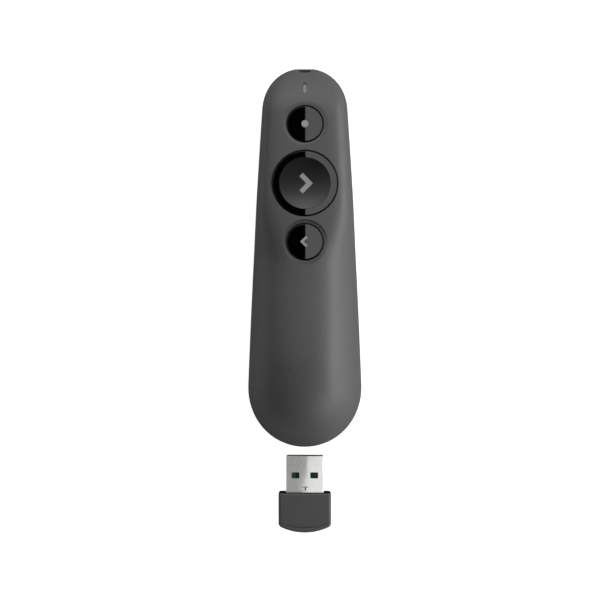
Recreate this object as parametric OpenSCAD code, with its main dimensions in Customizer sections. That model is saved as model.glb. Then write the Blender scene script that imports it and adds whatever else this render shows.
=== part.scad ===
// Wireless presentation clicker: a hand-held remote with three buttons, a laser in its nose
// and a USB receiver that docks in its tail.
// Millimetres. X is the width, +Y points to the nose, +Z is up, away from the table.
// The origin is on the flat of the underside, half way between nose and tail.

/* [Handset outline] */
// Length from nose to tail
body_l = 121.6; // [116:0.2:128]
// Width where the rounded nose begins
nose_w = 27.4; // [26.5:0.1:30]
// Width where the rounded tail begins
tail_w = 36.5; // [34.5:0.1:39]
// How far each side bows out between nose and tail
side_bow = 0.33; // [0:0.01:0.8]
// Length of the rounded nose, seen from above
nose_round_l = 13.7; // [12.5:0.1:15.5]
// Length of the rounded tail, seen from above
tail_round_l = 20; // [18:0.1:22]

/* [Handset height] */
// Height of the deck at the laser button
deck_h = 19; // [19:0.1:20.5]
// Slope of the deck, which rises from the nose to the palm, in degrees
deck_slope = 2.8; // [1.5:0.1:3.2]
// How far the palm hump rises above the line of the deck
hump_rise = 1.6; // [0.8:0.1:3]
// Height of the seam between the two shells
seam_h = 6.6; // [6.6:0.1:7.2]
// Distance from the nose tip to the start of the hump
hump_from_nose = 61; // [61:0.5:64]
// Length over which the hump rises
hump_run = 34; // [30:0.5:40]
// Distance from the nose tip to where the flat deck starts to round into the palm
crown_from_nose = 39; // [38:0.5:44]
// Length over which it goes from flat to round
crown_run = 24; // [18:0.5:30]
// Length over which the top rounds down to the nose
nose_drop_l = 16; // [14:0.1:17]
// Length over which the top rounds down to the tail
tail_drop_l = 31; // [28:0.1:34]
// Length over which the underside rounds up at either end
belly_round_l = 8; // [7:0.1:9]
// How much of the rounded underside is cut off flat
belly_flat = 0.4; // [0.3:0.05:0.6]
// Wall of both shells
wall = 1.6; // [1.4:0.05:1.8]

/* [Buttons] */
// Distance from the nose tip to the centre of the laser button
laser_button_from_nose = 19.15; // [18.8:0.05:19.6]
// Distance from the nose tip to the centre of the next button
next_button_from_nose = 37.8; // [37.4:0.1:38.2]
// Distance from the nose tip to the centre of the back button
back_button_from_nose = 56.15; // [55.9:0.05:56.7]
// Diameter of the laser and back buttons
small_button_d = 11.4; // [10.8:0.1:11.8]
// Diameter of the next button
next_button_d = 20.8; // [20:0.1:21.2]
// Diameter of the thumb dish in the next button
dish_d = 16.1; // [14:0.1:17]
// Depth of the thumb dish
dish_depth = 0.8; // [0.4:0.05:1]
// Gap round a button in its hole
button_gap = 0.25; // [0.15:0.05:0.35]
// Diameter of the shallow recess round a small button
recess_d = 14.2; // [13.8:0.1:14.8]
// How much deeper that recess is at the button hole than at its edge
recess_fall = 0.2; // [0.1:0.05:0.3]
// How far a button travels when pressed
button_travel = 0.35; // [0.25:0.05:0.4]
// How far the retaining flange stands out past the button
flange_out = 0.9; // [0.7:0.1:1]
// Thickness of the retaining flange
flange_t = 0.8; // [0.6:0.05:0.9]
// Distance from the deck down to the seat of the flanges
seat_depth = 1.8; // [1.6:0.05:1.9]

/* [Board and switches] */
// Thickness of the main board
board_t = 1; // [0.8:0.05:1.1]
// Width of the main board under the buttons
board_w = 22.8; // [22:0.1:23.2]
// Width of the board's tongue over the battery
board_tongue_w = 12.6; // [12:0.1:13.2]
// Width of one switch
switch_w = 4.5; // [4:0.1:5.2]
// Height of a switch body
switch_h = 1; // [0.9:0.05:1.1]
// How far the switch plunger stands out of its body
plunger_out = 0.45; // [0.4:0.05:0.5]
// Diameter of a switch plunger
plunger_d = 1.9; // [1.6:0.1:2.2]

/* [Laser] */
// Height of the laser's axis
laser_h = 9.95; // [9.85:0.05:10.1]
// Diameter of the laser barrel
barrel_d = 6.4; // [6:0.1:6.6]
// Length of the laser barrel
barrel_l = 11.4; // [10.8:0.1:12]
// Diameter of the aperture ring in the nose
bezel_d = 6; // [5.6:0.1:6.4]
// Diameter of the laser window
window_d = 4.2; // [3.6:0.1:4.6]

/* [Status light] */
// Distance from the nose tip to the centre of the light slot
light_from_nose = 7.35; // [7:0.05:7.6]
// Length of the light slot
light_l = 3.8; // [3:0.1:4]
// Width of the light slot
light_w = 1.05; // [0.9:0.05:1.3]

/* [Battery] */
// Diameter of the cell
cell_d = 10.5; // [10.3:0.1:10.5]
// Length of the cell with its button
cell_l = 44.5; // [44:0.1:44.5]
// Room for the spring behind the cell
spring_l = 4.2; // [3.8:0.1:4.4]
// Wire diameter of the battery spring
spring_wire_d = 0.7; // [0.5:0.05:0.8]
// Clearance round the cell in its tray
cell_fit = 0.25; // [0.2:0.05:0.35]
// Gap between the receiver's dock and the battery tray
tray_gap = 0.35; // [0.2:0.05:1]
// Thickness of the contact plates
contact_t = 0.3; // [0.2:0.05:0.4]

/* [Battery door] */
// Thickness of the door
door_t = 1.4; // [1.3:0.05:1.45]
// How far the door reaches past the receiver on each side
door_margin = 1.55; // [1.3:0.05:1.7]
// How far each tongue of the door reaches under its ledge
door_tongue = 0.8; // [0.6:0.05:0.9]
// Gap round the door and above it
door_gap = 0.2; // [0.15:0.05:0.25]

/* [Receiver] */
// Width of the receiver's housing
receiver_w = 16.9; // [16.4:0.1:17.2]
// Thickness of the receiver's housing
receiver_h = 6.1; // [5.8:0.1:6.3]
// Length of the receiver's housing at its centre line
receiver_l = 12.9; // [12.4:0.1:13.4]
// Width of the plug
plug_w = 12; // [11.9:0.05:12.1]
// Thickness of the plug
plug_h = 4.5; // [4.4:0.05:4.6]
// Length of plug that stands out of the housing
plug_l = 11.7; // [11.4:0.1:12.2]
// Thickness of the plug's sheet metal
plug_sheet = 0.3; // [0.25:0.05:0.35]
// Gap between the tail and the mouth of the plug, as it lies pulled out
receiver_gap = 2.9; // [1.5:0.05:6]
// Clearance of the receiver in its dock
dock_fit = 0.25; // [0.15:0.05:0.3]
// Wall of the dock
dock_wall = 0.6; // [0.5:0.05:0.7]

/* [Screws] */
// Shank diameter of the housing screws
housing_screw_d = 2; // [1.8:0.1:2.1]
// How far the housing screws reach into their bosses
housing_screw_bite = 6; // [5:0.5:7]
// Shank diameter of the board screws
board_screw_d = 1.7; // [1.5:0.1:1.8]
// How far the board screws reach into their bosses
board_screw_bite = 1.8; // [1.5:0.1:2]
// Height of all the screw heads
screw_head_h = 1; // [0.8:0.1:1]

/* [Hidden] */
$fn = 64;
eps = 0.01;
// Above everything
high_z = 40;

// Places along the handset
nose_y = body_l / 2;
tail_y = -body_l / 2;
nose_round_y = nose_y - nose_round_l;
tail_round_y = tail_y + tail_round_l;
hump_y = nose_y - hump_from_nose;
crown_y = nose_y - crown_from_nose;
laser_button_y = nose_y - laser_button_from_nose;
next_button_y = nose_y - next_button_from_nose;
back_button_y = nose_y - back_button_from_nose;
light_y = nose_y - light_from_nose;

// How square each rounded form is: 2 is an ellipse, more is squarer
nose_plan_p = 2.22;
tail_plan_p = 2;
end_p = 2.1;
deck_section_p = 4.6;
palm_section_p = 2.6;
nose_section_p = 3;
belly_section_p = 3.4;

// Steps of the shell meshes, along the body and round one half section
shell_steps = 40;
top_steps = 24;
belly_steps = 18;
plan_steps = 120;

// Heights, worked down from the deck and up from the table
flange_gap = 0.15;
post_below_flange = 0.3;
plunger_top_z = deck_h - seat_depth - flange_gap - flange_t - post_below_flange;
switch_top_z = plunger_top_z - plunger_out;
board_top_z = switch_top_z - switch_h;
board_z = board_top_z - board_t;
door_top_z = door_t + door_gap;
deck_plate_t = 1.6;
deck_plate_top_z = door_top_z + deck_plate_t;
tray_flange_t = 0.8;
boss_foot_z = deck_plate_top_z + tray_flange_t;
cell_z = door_top_z + 0.1 + cell_d / 2;
receiver_z = door_top_z + dock_wall + dock_fit + receiver_h / 2;

// The least depth of a recess's edge, and how far its floor runs on inside the hole
recess_lip = 0.1;
recess_run_on = 0.6;

// The dock and the receiver
dock_travel = receiver_gap + plug_l + receiver_l;
shoulder_y = tail_y + receiver_l;
mouth_y = shoulder_y + plug_l;
dock_half_w = receiver_w / 2 + dock_fit + dock_wall;
dock_half_h = receiver_h / 2 + dock_fit + dock_wall;
// The dock starts where the rounded tail leaves this much beside its rear corners
dock_side = 1;
dock_back_y = tail_y
    + tail_round_l * (1 - sqrt(1 - pow((dock_half_w + dock_side) / (tail_w / 2), 2)));
dock_step_y = shoulder_y + dock_fit;
dock_front_y = mouth_y + dock_fit + dock_wall;
end_cap_l = 1.35;
receiver_wall = 1;
receiver_corner_r = 1.1;
receiver_edge_r = 0.8;
plug_root_l = 2;
plug_corner_r = 0.45;
plug_play = 0.05;
plug_window_l = 1.95;
plug_window_w = 2.5;
plug_window_x = 3;
plug_window_from_mouth = 6.2;
receiver_board_t = 0.8;
receiver_board_top_z = receiver_z + plug_h / 2 - plug_sheet - 0.35;
receiver_board_half_w = 5.3;

// The battery bay, set against the front of the dock
tray_wall = 0.8;
tray_back_t = 0.6;
tray_front_t = 1.2;
cell_nub_l = 0.8;
tray_back_y = dock_front_y + tray_gap;
spring_back_y = tray_back_y + tray_back_t + contact_t;
cell_back_y = spring_back_y + spring_l;
cell_front_y = cell_back_y + cell_l;
tray_front_y = cell_front_y + contact_t + tray_front_t;
tray_half_w = cell_d / 2 + cell_fit + tray_wall;
cell_roof_z = cell_z + cell_d / 2 + cell_fit;
contact_strip_z = board_z - contact_t;

// The door and its slot
door_w = receiver_w + 2 * door_margin;
door_front_y = tray_front_y + 0.6;
door_tongue_t = 0.6;
door_ledge_z = door_t - door_tongue_t - door_gap;
door_grip_y = door_front_y - 9;
door_grip_step = 1.6;

// Screws
housing_boss_r = 2;
board_boss_r = 1.9;
screw_hole_play = 0.4;
housing_screw_x = tray_half_w + housing_boss_r + 0.2;
housing_screw_front_y = back_button_y + 4.4;
housing_screw_back_y = cell_back_y + 4;
housing_head_d = housing_screw_d * 1.75;
board_head_d = board_screw_d * 2;
board_screw_x = 9.6;
board_screw_ahead = 10.9;
board_screw_behind = 9.2;
board_screw_front_y = next_button_y + board_screw_ahead;
board_screw_back_y = back_button_y - board_screw_behind;
board_neck = 9.5;
tray_roof_front_y = board_screw_back_y - board_head_d;
deck_front_y = max(door_front_y, housing_screw_front_y + housing_boss_r);

// The laser
barrel_front_y = nose_y - 3.5;
barrel_back_y = barrel_front_y - barrel_l;

// The outer form
function ease(t) = let(c = max(0, min(1, t))) c * c * (3 - 2 * c);
function mix(a, b, t) = a + (b - a) * t;
function cap(u, p) = u <= 0 ? 1 : u >= 1 ? 0 : pow(1 - pow(u, p), 1 / p);
function ends(y, nose_l, nose_p, tail_l, tail_p, inset) =
    cap((y - nose_y + nose_l) / (nose_l - inset), nose_p)
    * cap((tail_y + tail_l - y) / (tail_l - inset), tail_p);
function taper(y) = let(t = (y - tail_round_y) / (nose_round_y - tail_round_y))
    mix(tail_w, nose_w, t) / 2 + side_bow * (1 - pow(2 * t - 1, 2));
function half_w(y, inset = 0) =
    (taper(y) - inset) * ends(y, nose_round_l, nose_plan_p, tail_round_l, tail_plan_p, inset);
function hump_t(y) = ease((hump_y - y) / hump_run);
function deck_z(y) = deck_h + (laser_button_y - y) * tan(deck_slope);
function top_rise(y, inset = 0) =
    (deck_z(y) + hump_rise * hump_t(y) - seam_h - inset)
    * ends(y, nose_drop_l, nose_plan_p, tail_drop_l, end_p, inset);
function belly_drop(y, inset = 0) =
    (inset == 0 ? seam_h + belly_flat : seam_h - inset)
    * ends(y, belly_round_l, nose_plan_p, belly_round_l, nose_plan_p, inset);
function top_p(y) = mix(
    mix(deck_section_p, palm_section_p, ease((crown_y - y) / crown_run)),
    nose_section_p, ease((y - nose_y + nose_drop_l) / nose_drop_l));
function top_z(x, y, inset = 0) =
    seam_h + top_rise(y, inset) * cap(abs(x) / half_w(y, inset), top_p(y));
function power_cos(a, p) = sign(cos(a)) * pow(abs(cos(a)), 2 / p);
function power_sin(a, p) = pow(abs(sin(a)), 2 / p);
function station_y(j, steps, inset) = (body_l / 2 - inset) * sin(-90 + 180 * j / steps);

// One half section at y: a row of points from the right rim over the top (or under the
// belly) to the left rim
function section(y, is_top, inset, steps) =
    let(w = half_w(y, inset),
        rise = is_top ? top_rise(y, inset) : -belly_drop(y, inset),
        p = is_top ? top_p(y) : belly_section_p)
    [for (k = [0:steps]) let(a = 180 * k / steps)
        [w * power_cos(a, p), y, seam_h + (k == 0 || k == steps ? 0 : rise * power_sin(a, p))]];

// All the points of one skin: the tail tip, the sections, then the nose tip
function skin(is_top, inset, steps) = concat(
    [[0, tail_y + inset, seam_h]],
    [for (j = [1:shell_steps - 1])
        each section(station_y(j, shell_steps, inset), is_top, inset, steps)],
    [[0, nose_y - inset, seam_h]]);

// The triangles of one skin whose points start at index s
function skin_faces(s, steps) =
    let(row = steps + 1, rows = shell_steps - 1, last = s + 1 + rows * row)
    concat(
        [for (k = [0:steps - 1]) [s, s + 1 + k + 1, s + 1 + k]],
        [for (j = [0:rows - 2], k = [0:steps - 1]) let(a = s + 1 + j * row + k, b = a + row)
            each [[a, a + 1, b], [a + 1, b + 1, b]]],
        [for (k = [0:steps - 1]) let(a = s + 1 + (rows - 1) * row + k) [a, a + 1, last]]);

// The point indices of a skin's rim, from the tail tip up the right side to the nose tip,
// then down the left side
function rim(s, steps) =
    let(row = steps + 1, rows = shell_steps - 1)
    concat([s], [for (j = [0:rows - 1]) s + 1 + j * row], [s + 1 + rows * row],
        [for (j = [rows - 1:-1:0]) s + 1 + j * row + steps]);

function flipped(faces) = [for (f = faces) [f[0], f[2], f[1]]];
function facing(faces, outwards) = outwards ? faces : flipped(faces);

// A shell half with a constant wall, open at the seam
module shell_half(is_top) {
    steps = is_top ? top_steps : belly_steps;
    outer = skin(is_top, 0, steps);
    inner = skin(is_top, wall, steps);
    outer_rim = rim(0, steps);
    inner_rim = rim(len(outer), steps);
    count = len(outer_rim);
    rim_faces = [for (i = [0:count - 1]) let(n = (i + 1) % count)
        each [[outer_rim[i], outer_rim[n], inner_rim[i]],
            [outer_rim[n], inner_rim[n], inner_rim[i]]]];
    polyhedron(
        points = concat(outer, inner),
        faces = concat(
            facing(skin_faces(0, steps), is_top),
            facing(skin_faces(len(outer), steps), !is_top),
            facing(rim_faces, is_top)),
        convexity = 6);
}

// A solid half, closed by a flat face at the seam
module solid_half(is_top) {
    steps = is_top ? top_steps : belly_steps;
    outer = skin(is_top, 0, steps);
    around = rim(0, steps);
    count = len(around);
    half = count / 2;
    lid = [for (i = [0:half - 1]) let(r = i, l = (count - i) % count, rn = i + 1, ln = count - i - 1)
        each concat(
            r == 0 ? [] : [[around[r], around[rn], around[l]]],
            rn == ln ? [] : [[around[l], around[rn], around[ln]]])];
    polyhedron(
        points = outer,
        faces = concat(facing(skin_faces(0, steps), is_top), facing(lid, is_top)),
        convexity = 4);
}

// The outline seen from above, drawn in by inset
module plan_shape(inset = 0) {
    right = [for (j = [1:plan_steps - 1]) let(y = station_y(j, plan_steps, inset))
        [half_w(y, inset), y]];
    polygon(concat([[0, tail_y + inset]], right, [[0, nose_y - inset]],
        [for (j = [len(right) - 1:-1:0]) [-right[j][0], right[j][1]]]));
}

module box(low, high) {
    translate(low) cube(high - low);
}

module both_sides() {
    children();
    mirror([1, 0, 0]) children();
}

module along_y(y, z) {
    translate([0, y, z]) rotate([-90, 0, 0]) children();
}

module housing_screw_places() {
    both_sides() for (y = [housing_screw_back_y, housing_screw_front_y])
        translate([housing_screw_x, y, 0]) children();
}

module board_screw_places() {
    both_sides() translate([board_screw_x, board_screw_front_y, 0]) children();
    translate([0, board_screw_back_y, 0]) children();
}

// The frame of the deck at y: its Z stands square on the slope
module on_deck(y) {
    translate([0, y, deck_z(y)]) rotate([-deck_slope, 0, 0]) children();
}

// A button's well: the hole through the deck and the pocket for its flange
module button_well(y, d) {
    translate([0, y, board_top_z - eps]) {
        cylinder(d = d + 2 * button_gap, h = high_z);
        cylinder(d = d + 2 * (flange_out + button_gap),
            h = deck_z(y) - seat_depth - board_top_z + eps);
    }
}

// A dished recess with a crisp round edge, whose floor slopes on into the hole. It is sunk as
// far as the rounded deck falls away at its sides, so that its edge is a whole circle.
module button_recess(y) {
    edge_depth = recess_lip + top_z(0, y) - top_z(recess_d / 2, y);
    hole_r = small_button_d / 2 + button_gap;
    floor_slope = recess_fall / (recess_d / 2 - hole_r);
    inner_r = hole_r - recess_run_on;
    inner_depth = edge_depth + recess_fall + recess_run_on * floor_slope;
    on_deck(y) rotate_extrude() polygon([
        [0, -inner_depth], [inner_r, -inner_depth],
        [recess_d / 2, -edge_depth], [recess_d / 2, 2], [0, 2]]);
}

module light_slot(gap) {
    straight = light_l - light_w;
    translate([0, light_y, board_top_z]) {
        for (s = [-1, 1]) translate([0, s * straight / 2, 0])
            cylinder(d = light_w - 2 * gap, h = deck_h - board_top_z);
        translate([-light_w / 2 + gap, -straight / 2, 0])
            cube([light_w - 2 * gap, straight, deck_h - board_top_z]);
    }
}

// The way into the dock, through the tail of both shells, and down to the door's lip
module dock_mouth() {
    half = receiver_w / 2 + dock_fit;
    box([-half, tail_y - 2, door_top_z - eps],
        [half, shoulder_y, receiver_z + receiver_h / 2 + dock_fit]);
}

module dock_room() {
    box([-dock_half_w - 0.1, dock_back_y - 0.1, door_top_z - eps],
        [dock_half_w + 0.1, dock_front_y + 0.1, receiver_z + dock_half_h + 0.1]);
}

// A boss that hangs from the roof of the top shell and ends inside its wall
module boss(x, y, foot_z, r) {
    translate([x, y, foot_z]) cylinder(r = r, h = top_z(x, y, wall) + wall / 2 - foot_z);
}

module top_shell() color([0.28, 0.28, 0.29]) {
    difference() {
        union() {
            shell_half(true);
            both_sides() {
                boss(housing_screw_x, housing_screw_back_y, boss_foot_z, housing_boss_r);
                boss(housing_screw_x, housing_screw_front_y, boss_foot_z, housing_boss_r);
                boss(board_screw_x, board_screw_front_y, board_top_z, board_boss_r);
            }
            boss(0, board_screw_back_y, board_top_z, board_boss_r);
        }
        button_well(laser_button_y, small_button_d);
        button_well(next_button_y, next_button_d);
        button_well(back_button_y, small_button_d);
        button_recess(laser_button_y);
        button_recess(back_button_y);
        light_slot(0);
        dock_mouth();
        dock_room();
        laser_room();
        housing_screw_places() translate([0, 0, boss_foot_z - eps])
            cylinder(d = housing_screw_d + 0.1, h = housing_screw_bite + 0.8);
        board_screw_places() translate([0, 0, board_top_z - eps])
            cylinder(d = board_screw_d + 0.1, h = board_screw_bite + 0.3);
    }
}

module door_slot() {
    half = door_w / 2;
    box([-half - door_gap, tail_y - 2, -2], [half + door_gap, door_front_y + door_gap, door_top_z]);
    box([-half - door_tongue - door_gap, tail_y - 2, door_ledge_z],
        [half + door_tongue + door_gap, door_front_y + door_gap, door_top_z]);
}

// The seat of the barrel and the hole for the ring in front of it
module laser_room() {
    along_y(barrel_back_y - 1, laser_h) cylinder(d = barrel_d + 0.1, h = barrel_l + 1.1);
    along_y(barrel_front_y, laser_h) cylinder(d = bezel_d + 0.1, h = 10);
}

module laser_saddle(y) {
    rib_t = 1.2;
    box([-barrel_d / 2 - 1, y, wall / 2], [barrel_d / 2 + 1, y + rib_t, laser_h - 0.3]);
}

module rear_shell() color([0.13, 0.13, 0.14]) {
    lip_t = 0.8;
    lip_h = 1;
    lip_root = 1.4;
    lip_gap = 0.15;
    deck_edge = door_w / 2 + door_tongue + 1.6;
    difference() {
        union() {
            shell_half(false);
            // The deck plate that the tray and the door's tongues bear on
            intersection() {
                translate([0, 0, wall / 2]) linear_extrude(deck_plate_top_z - wall / 2)
                    plan_shape(wall / 2);
                box([-deck_edge, tail_y + 9, 0], [deck_edge, deck_front_y + 1.4, seam_h]);
            }
            // The lip that locates the two shells at the seam
            translate([0, 0, seam_h - lip_root]) linear_extrude(lip_h + lip_root) difference() {
                plan_shape(wall + lip_gap);
                plan_shape(wall + lip_gap + lip_t);
            }
            translate([0, 0, seam_h - lip_root]) linear_extrude(lip_root - 0.2) difference() {
                plan_shape(wall / 2);
                plan_shape(wall + lip_gap + lip_t / 2);
            }
            laser_saddle(barrel_back_y + 2);
            laser_saddle(barrel_front_y - 3.2);
        }
        box([-body_l, -body_l, -5], [body_l, body_l, 0]);
        door_slot();
        dock_mouth();
        dock_room();
        // The opening that the cell goes in through
        box([-tray_half_w - 0.1, tray_back_y - 0.1, 0],
            [tray_half_w + 0.1, tray_front_y + 0.1, seam_h + 2]);
        housing_screw_places() translate([0, 0, door_ledge_z]) {
            cylinder(d = housing_screw_d + screw_hole_play, h = seam_h);
            cylinder(d = housing_head_d + screw_hole_play, h = door_top_z + screw_head_h - door_ledge_z);
        }
        laser_room();
    }
}

// The underside's skin as a solid, to trim what lies flush with it
module belly_solid() {
    difference() {
        solid_half(false);
        box([-body_l, -body_l, -5], [body_l, body_l, 0]);
    }
}

module battery_door() color([0.13, 0.13, 0.14]) {
    half = door_w / 2;
    lip_y = dock_back_y - door_gap;
    lip_top_z = door_top_z + dock_wall - 0.1;
    lip_half_w = receiver_w / 2;
    difference() {
        intersection() {
            belly_solid();
            union() {
                box([-half, tail_y, -1], [half, door_front_y, door_t]);
                box([-half - door_tongue, tail_y + tail_round_l / 2, door_t - door_tongue_t],
                    [half + door_tongue, door_front_y, door_t]);
                box([-lip_half_w, tail_y, -1], [lip_half_w, lip_y, lip_top_z]);
            }
        }
        // Thumb grip
        for (i = [0:3]) translate([-door_w / 4, door_grip_y + i * door_grip_step, -0.7])
            rotate([0, 90, 0]) cylinder(r = 1, h = door_w / 2);
    }
}

module battery_tray() color([0.2, 0.2, 0.21]) {
    inner_w = cell_d / 2 + cell_fit;
    flange_w = door_w / 2 + door_tongue;
    difference() {
        union() {
            // Walls round the cell, and the roof over its rear half
            box([-tray_half_w, tray_back_y, door_top_z], [tray_half_w, tray_front_y, cell_z + 1.5]);
            box([-tray_half_w, tray_back_y, door_top_z],
                [tray_half_w, tray_roof_front_y, contact_strip_z]);
            // The flange that the housing screws clamp
            box([-flange_w, cell_back_y, deck_plate_top_z], [flange_w, deck_front_y - 2, boss_foot_z]);
        }
        box([-inner_w, spring_back_y, -1], [inner_w, cell_front_y, cell_z]);
        box([-inner_w, spring_back_y, cell_z], [inner_w, tray_roof_front_y - 2, cell_roof_z]);
        box([-inner_w, tray_roof_front_y - 2 - eps, cell_z], [inner_w, cell_front_y, high_z]);
        // Slots for the two contact plates, which drop in from above
        box([-inner_w + 0.9, spring_back_y - contact_t, deck_plate_top_z],
            [inner_w - 0.9, spring_back_y + eps, high_z]);
        box([-inner_w + 0.9, cell_front_y - eps, deck_plate_top_z],
            [inner_w - 0.9, cell_front_y + contact_t, high_z]);
        housing_screw_places() cylinder(d = housing_screw_d + screw_hole_play, h = high_z);
    }
}

module receiver_dock() color([0.16, 0.16, 0.17]) {
    half = receiver_w / 2 + dock_fit;
    reach = receiver_h / 2 + dock_fit;
    plug_half = plug_w / 2 + dock_fit;
    plug_reach = plug_h / 2 + dock_fit;
    difference() {
        intersection() {
            translate([0, 0, receiver_z - dock_half_h]) linear_extrude(2 * dock_half_h)
                plan_shape(wall + 0.1);
            union() {
                box([-dock_half_w, dock_back_y, receiver_z - dock_half_h],
                    [dock_half_w, dock_step_y + dock_wall, receiver_z + dock_half_h]);
                box([-plug_half - dock_wall, dock_step_y, receiver_z - dock_half_h],
                    [plug_half + dock_wall, dock_front_y, receiver_z + plug_reach + dock_wall]);
            }
        }
        box([-half, tail_y - 1, receiver_z - reach], [half, dock_step_y, receiver_z + reach]);
        box([-plug_half, dock_step_y - 1, receiver_z - plug_reach],
            [plug_half, mouth_y + dock_fit, receiver_z + plug_reach]);
    }
}

module board_shape() {
    half = board_w / 2;
    neck_y = back_button_y + board_neck;
    back_y = board_screw_back_y - 3;
    nose_half = 6;
    nose_end_y = light_y - light_l / 2 + 1.3;
    polygon([[-board_tongue_w / 2, back_y], [board_tongue_w / 2, back_y],
        [board_tongue_w / 2, neck_y], [half, neck_y + 2], [half, laser_button_y + 3],
        [nose_half, nose_end_y], [-nose_half, nose_end_y], [-half, laser_button_y + 3],
        [-half, neck_y + 2], [-board_tongue_w / 2, neck_y]]);
}

module main_board() color([0.05, 0.3, 0.15]) {
    translate([0, 0, board_z]) linear_extrude(board_t) difference() {
        board_shape();
        board_screw_places() circle(d = board_screw_d + 0.5);
    }
}

module radio_chip() color([0.08, 0.08, 0.08])
    box([-6.5, next_button_y, board_z - 0.9], [-1.5, next_button_y + 5, board_z]);

module crystal() color([0.75, 0.75, 0.72])
    box([1.5, next_button_y + 1, board_z - 0.8], [4.7, next_button_y + 3.5, board_z]);

// A low switch on the board, with a bore for its plunger
module switch_body(y) {
    half = switch_w / 2;
    difference() {
        box([-half, y - half, board_top_z], [half, y + half, switch_top_z]);
        translate([0, y, board_top_z + 0.1]) cylinder(d = plunger_d + 0.1, h = switch_h);
    }
}

module switch_plunger(y) {
    low_z = board_top_z + 0.1 + button_travel + 0.05;
    translate([0, y, low_z]) cylinder(d = plunger_d, h = plunger_top_z - low_z);
}

module laser_switch() color([0.1, 0.1, 0.1]) switch_body(laser_button_y);
module next_switch() color([0.1, 0.1, 0.1]) switch_body(next_button_y);
module back_switch() color([0.1, 0.1, 0.1]) switch_body(back_button_y);
module laser_plunger() color([0.8, 0.75, 0.6]) switch_plunger(laser_button_y);
module next_plunger() color([0.8, 0.75, 0.6]) switch_plunger(next_button_y);
module back_plunger() color([0.8, 0.75, 0.6]) switch_plunger(back_button_y);

// A button cap: a flat top in line with the deck, a hollow skirt with a retaining flange, and
// a post over the switch
module button_cap(y, d, roof_t) {
    r = d / 2;
    skirt_t = 1.1;
    post_r = plunger_d / 2 + 0.5;
    flange_top_z = deck_z(y) - seat_depth - flange_gap;
    flange_z = flange_top_z - flange_t;
    difference() {
        translate([0, y, 0]) rotate_extrude() polygon([
            [0, plunger_top_z], [post_r, plunger_top_z], [post_r, deck_z(y) - roof_t],
            [r - skirt_t, deck_z(y) - roof_t], [r - skirt_t, flange_z], [r + flange_out, flange_z],
            [r + flange_out, flange_top_z], [r, flange_top_z], [r, deck_z(y) + 2],
            [0, deck_z(y) + 2]]);
        on_deck(y) box([-r - 1, -r - 1, 0], [r + 1, r + 1, 5]);
    }
}

module laser_button() color([0.03, 0.03, 0.03])
    button_cap(laser_button_y, small_button_d, 1.3);

module back_button() color([0.03, 0.03, 0.03])
    button_cap(back_button_y, small_button_d, 1.3);

module next_button() color([0.03, 0.03, 0.03]) {
    dish_r = (pow(dish_d / 2, 2) + pow(dish_depth, 2)) / (2 * dish_depth);
    difference() {
        button_cap(next_button_y, next_button_d, dish_depth + 0.9);
        on_deck(next_button_y) translate([0, 0, dish_r - dish_depth]) sphere(r = dish_r, $fn = 200);
    }
}

module light_pipe() color([0.85, 0.85, 0.82]) {
    foot_z = board_top_z + 0.8;
    sink = 0.1;
    low_y = light_y - light_l / 2;
    high_y = light_y + light_l / 2;
    intersection() {
        light_slot(0.05);
        translate([-light_w, 0, 0]) rotate([90, 0, 90]) linear_extrude(2 * light_w) polygon([
            [low_y, foot_z], [high_y, foot_z], [high_y, top_z(0, high_y) - sink],
            [light_y, top_z(0, light_y) - sink], [low_y, top_z(0, low_y) - sink]]);
    }
}

module status_led() color([0.95, 0.95, 0.9])
    box([-0.4, light_y - 1.65, board_top_z], [0.4, light_y - 0.55, board_top_z + 0.7]);

module laser_barrel() color([0.75, 0.6, 0.3]) {
    r = barrel_d / 2;
    lens_seat = 1.8;
    along_y(barrel_back_y, laser_h) rotate_extrude() polygon([
        [r - 0.9, 0], [r, 0], [r, barrel_l], [r - 0.6, barrel_l], [r - 0.6, barrel_l - lens_seat],
        [r - 1.4, barrel_l - lens_seat], [r - 1.4, 4], [r - 0.9, 4]]);
}

module laser_lens() color([0.7, 0.85, 0.9, 0.6]) {
    lens_r = barrel_d / 2 - 0.6;
    face_r = 6;
    lens_t = 1.4;
    intersection() {
        along_y(barrel_front_y - 1.8, laser_h) cylinder(r = lens_r, h = lens_t);
        translate([0, barrel_front_y - 1.8 + lens_t - face_r, laser_h]) sphere(r = face_r, $fn = 96);
    }
}

module laser_diode() color([0.8, 0.7, 0.4]) {
    can_r = barrel_d / 2 - 0.9;
    lead_r = 0.25;
    along_y(barrel_back_y, laser_h) cylinder(r = can_r, h = 1.2);
    along_y(barrel_back_y + 1.2 - eps, laser_h) cylinder(r = can_r - 0.6, h = 2.2);
    // Leads to the board
    for (x = [-1.2, 1.2]) {
        along_y(barrel_back_y - 2, laser_h) translate([x, 0, 0]) cylinder(r = lead_r, h = 2 + eps);
        translate([x, barrel_back_y - 2, laser_h - lead_r])
            cylinder(r = lead_r, h = board_z - laser_h + lead_r);
    }
}

// What stands in the nose follows the nose's own surface
module nose_trim(sink) {
    intersection() {
        translate([0, -sink, 0]) solid_half(true);
        children();
    }
}

module laser_bezel() color([0.05, 0.05, 0.05])
    nose_trim(0.1) difference() {
        along_y(barrel_front_y + 0.3, laser_h) cylinder(d = bezel_d, h = 5);
        along_y(barrel_front_y, laser_h) cylinder(d = window_d, h = 8);
    }

module laser_window() color([0.25, 0.02, 0.02])
    nose_trim(0.5) along_y(barrel_front_y + 0.6, laser_h) cylinder(d = window_d, h = 5);

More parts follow.
